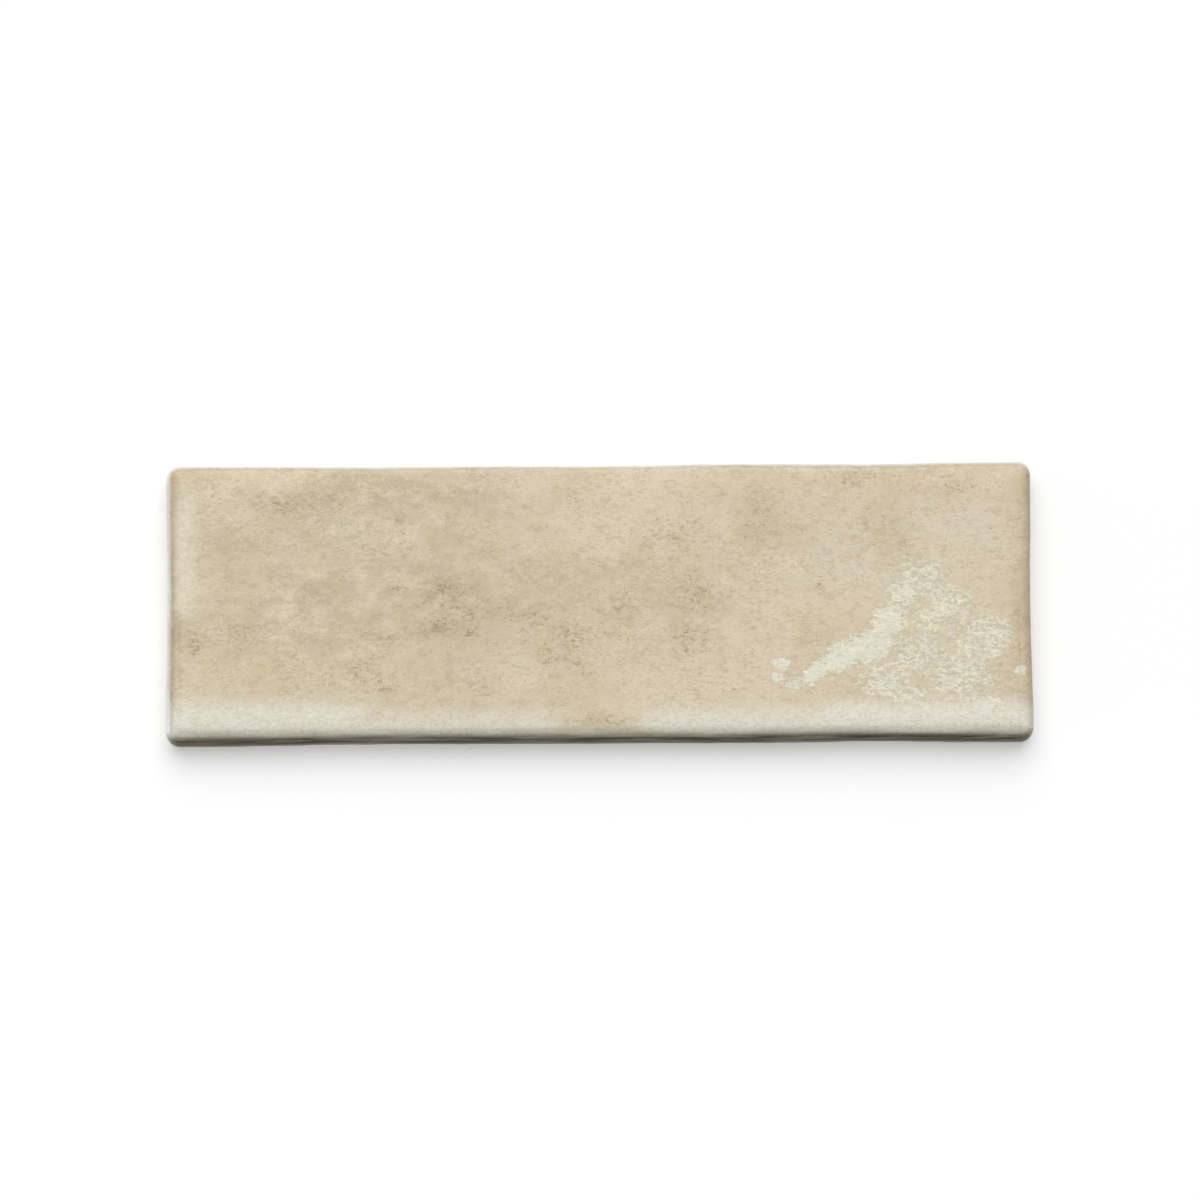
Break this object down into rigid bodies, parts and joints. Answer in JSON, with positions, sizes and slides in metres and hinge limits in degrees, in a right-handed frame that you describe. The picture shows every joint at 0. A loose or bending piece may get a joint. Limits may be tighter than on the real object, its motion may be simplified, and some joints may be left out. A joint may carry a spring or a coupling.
{
  "type": "subway wall tile",
  "caption": "Long rectangular glazed ceramic wall tile with rolled, slightly wavy edges, a gently rippled face and a shallow grid pressed into its back.",
  "frame": {"origin": "centre of the tile's bed, in the plane of the ribs on its back", "axes": "+X along the tile's length, +Y across its width towards the edge that is uppermost on the wall, +Z out of the glazed face; the tile lies face up on its back"},
  "size_m": [0.2, 0.065, 0.008],
  "materials": {
    "glazed_ceramic": "gloss"
  },
  "bodies": {
    "root": {"wall_tile": "glazed_ceramic"}
  },
  "joints": []
}
